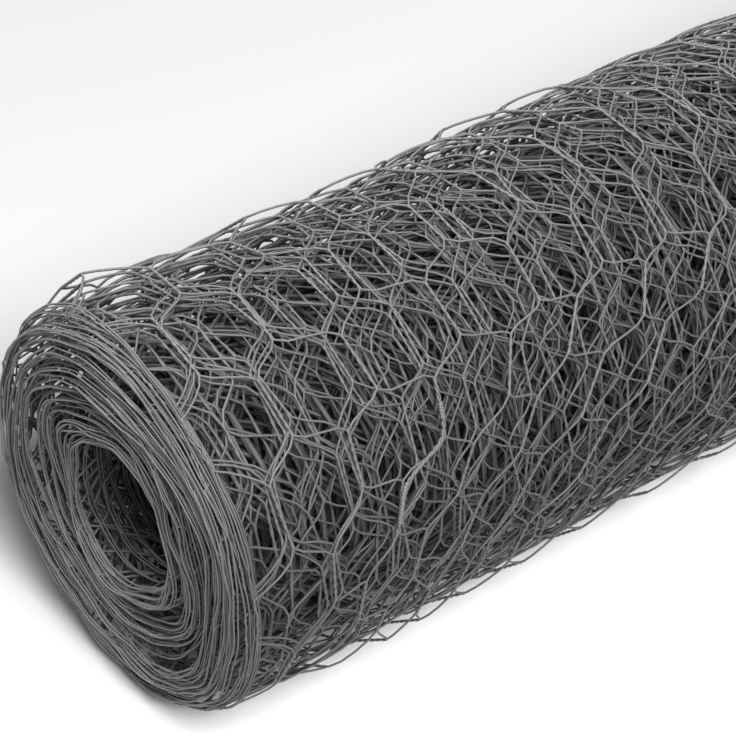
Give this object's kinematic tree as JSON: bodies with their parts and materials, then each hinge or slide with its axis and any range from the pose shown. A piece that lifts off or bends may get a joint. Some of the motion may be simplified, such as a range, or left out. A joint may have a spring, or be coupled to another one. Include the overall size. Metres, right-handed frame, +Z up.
{
  "type": "roll of plastic-coated wire netting",
  "caption": "Roll of hexagonal wire netting woven from grey plastic-coated wire, wound around an open bore and lying on its side.",
  "frame": {"origin": "on the floor under the middle of the roll, at the bottom centre of its box", "axes": "+Y along the roll's axis, towards the end where the first turns are drawn in; +Z up; the roll lies on its side"},
  "size_m": [0.1298, 0.5029, 0.1297],
  "materials": {
    "coated_wire": "grey PVC skin on thin steel wire, satin, slightly uneven where it is twisted"
  },
  "bodies": {
    "root": {"netting_roll": "coated_wire"}
  },
  "joints": []
}
